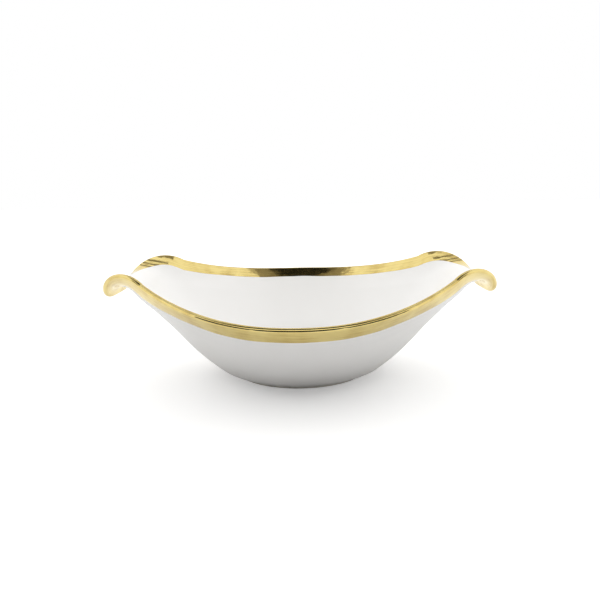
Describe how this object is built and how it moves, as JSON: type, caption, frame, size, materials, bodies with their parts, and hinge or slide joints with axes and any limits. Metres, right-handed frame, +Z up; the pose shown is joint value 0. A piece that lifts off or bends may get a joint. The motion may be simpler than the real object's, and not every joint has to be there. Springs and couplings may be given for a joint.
{
  "type": "serving bowl",
  "caption": "Porcelain serving bowl with low sides, rolled-over ends that serve as handles, a small round foot and a gilded rim.",
  "frame": {"origin": "centre of the foot's underside, on the surface the bowl stands on", "axes": "+X through the rolled ends, +Y across the low sides, +Z up"},
  "size_m": [0.2828, 0.2546, 0.0839],
  "materials": {
    "glazed_porcelain": "clear glossy glaze over a white body",
    "unglazed_porcelain": "bare fired porcelain, rubbed smooth",
    "fired_gold": "bright fired liquid gold"
  },
  "bodies": {
    "root": {"bowl_body": "glazed_porcelain", "foot_ring": "unglazed_porcelain", "gold_band_inner": "fired_gold", "gold_band_outer": "fired_gold", "gold_rim_edge": "fired_gold"}
  },
  "joints": []
}
